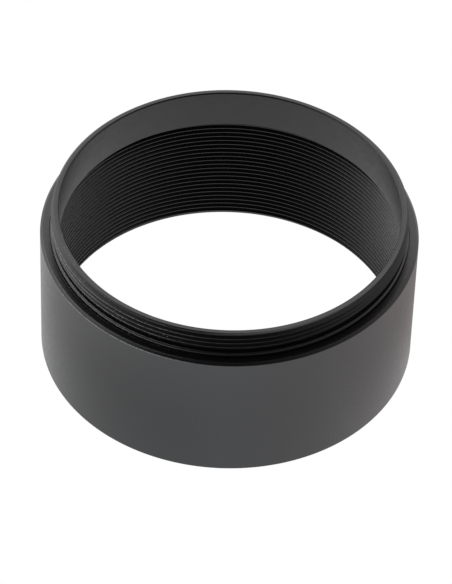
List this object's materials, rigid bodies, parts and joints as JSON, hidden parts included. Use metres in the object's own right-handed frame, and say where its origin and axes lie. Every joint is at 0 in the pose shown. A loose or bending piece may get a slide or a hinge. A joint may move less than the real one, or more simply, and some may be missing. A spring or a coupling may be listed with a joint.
{
  "type": "threaded extension ring",
  "caption": "Black anodised extension ring: a plain barrel with a fine female thread through it and a matching male thread on a short collar, to space a barlow lens, filter or camera.",
  "frame": {"origin": "centre of the barrel's flat base, on the optical axis", "axes": "+Z along the optical axis, from the female end to the male collar; the part is round, so +X is arbitrary"},
  "size_m": [0.0508, 0.0508, 0.0239],
  "materials": {
    "barrel_anodise": "satin black anodised, fine turned",
    "ring_anodise": "satin black anodised, fine turned"
  },
  "bodies": {
    "root": {"barrel": "barrel_anodise", "thread_ring": "ring_anodise"}
  },
  "joints": []
}
